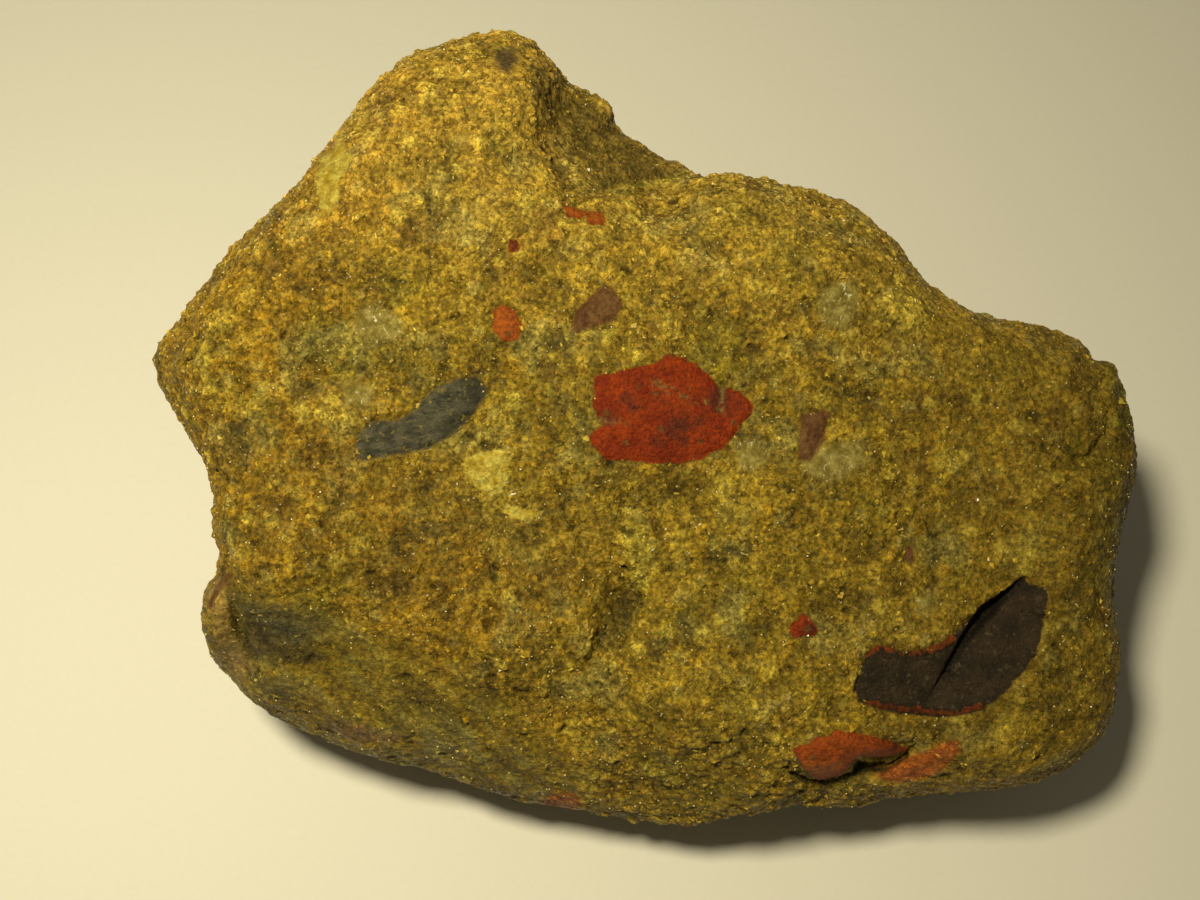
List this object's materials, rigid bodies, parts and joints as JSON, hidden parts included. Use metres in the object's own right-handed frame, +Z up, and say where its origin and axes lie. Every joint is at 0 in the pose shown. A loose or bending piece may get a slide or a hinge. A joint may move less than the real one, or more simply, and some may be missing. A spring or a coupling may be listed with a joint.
{
  "type": "puddingstone",
  "caption": "Hand-sized lump of puddingstone: pebbly sandstone with a broad face, bevelled worn sides, a blunt peak at one end and a small flat spot underneath.",
  "frame": {"origin": "on the resting plane, under the middle of the stone's bounding box", "axes": "+X along the stone's length with its blunt peak towards -X, +Y to the back, +Z up; the broad face looks up and forward, 24 degrees off level"},
  "size_m": [0.121, 0.0912, 0.0628],
  "materials": {
    "sandstone": "rough ochre-brown cemented sand with red jasper, grey slate and dark shale pebbles"
  },
  "bodies": {
    "root": {"puddingstone": "sandstone"}
  },
  "joints": []
}
